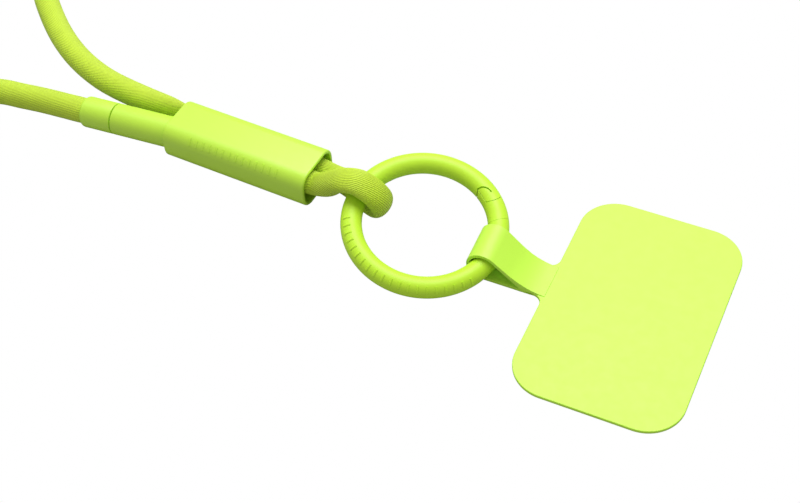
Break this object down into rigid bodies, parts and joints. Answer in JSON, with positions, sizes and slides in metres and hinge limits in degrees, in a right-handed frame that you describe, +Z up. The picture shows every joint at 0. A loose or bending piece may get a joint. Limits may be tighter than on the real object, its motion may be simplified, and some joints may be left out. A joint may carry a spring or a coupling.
{
  "type": "phone lanyard",
  "caption": "Crossbody phone lanyard: round knitted cord, slim sleeve and snap barrel, round spring-gate ring, and a thin card that a phone case holds.",
  "frame": {"origin": "on the surface that the lanyard lies on, under the middle of everything but the free cord", "axes": "+X along the lanyard from the cord to the card, +Z up from the surface, +Y across the card"},
  "size_m": [0.3061, 0.0927, 0.0165],
  "materials": {
    "moulded": "satin moulded lime plastic",
    "painted": "satin lime coating on zinc alloy",
    "knitted_cord": "knitted lime textile with fine diagonal ribs",
    "card_sheet": "smooth satin lime sheet",
    "spring_steel": "plain drawn steel"
  },
  "bodies": {
    "cord": {"cord_ring_loop": "knitted_cord", "cord_upper_leg": "knitted_cord", "cord_lower_leg": "knitted_cord", "cord_coil": "knitted_cord", "barrel_plug_half": "moulded", "barrel_socket_half": "moulded"},
    "sleeve": {"sleeve": "moulded"},
    "ring": {"ring_frame": "painted", "gate_hinge_pin": "spring_steel"},
    "gate": {"ring_gate": "painted", "gate_return_spring": "spring_steel"},
    "card": {"card": "card_sheet"}
  },
  "joints": [
    {"name": "sleeve_slide", "type": "slide", "parent": "cord", "child": "sleeve", "axis": [1, 0, 0], "range_m": [0, 0.0015]},
    {"name": "ring_swing", "type": "hinge", "parent": "cord", "child": "ring", "pos_m": [-0.00354, -0.00087, 0.00941], "axis": [-0.0691, -0.9925, -0.1012], "range_deg": [-90, 105]},
    {"name": "gate_hinge", "type": "hinge", "parent": "ring", "child": "gate", "pos_m": [0.02306, 0.01229, 0.00707], "axis": [-0.1409, 0.1101, -0.9839], "range_deg": [0, 35], "stiffness_Nm_per_rad": 0.01, "springref_deg": -28.65},
    {"name": "card_swing", "type": "hinge", "parent": "ring", "child": "card", "pos_m": [0.02978, -0.00123, 0.00453], "axis": [0.0483, -0.9918, -0.1179], "range_deg": [-105, 110]}
  ]
}
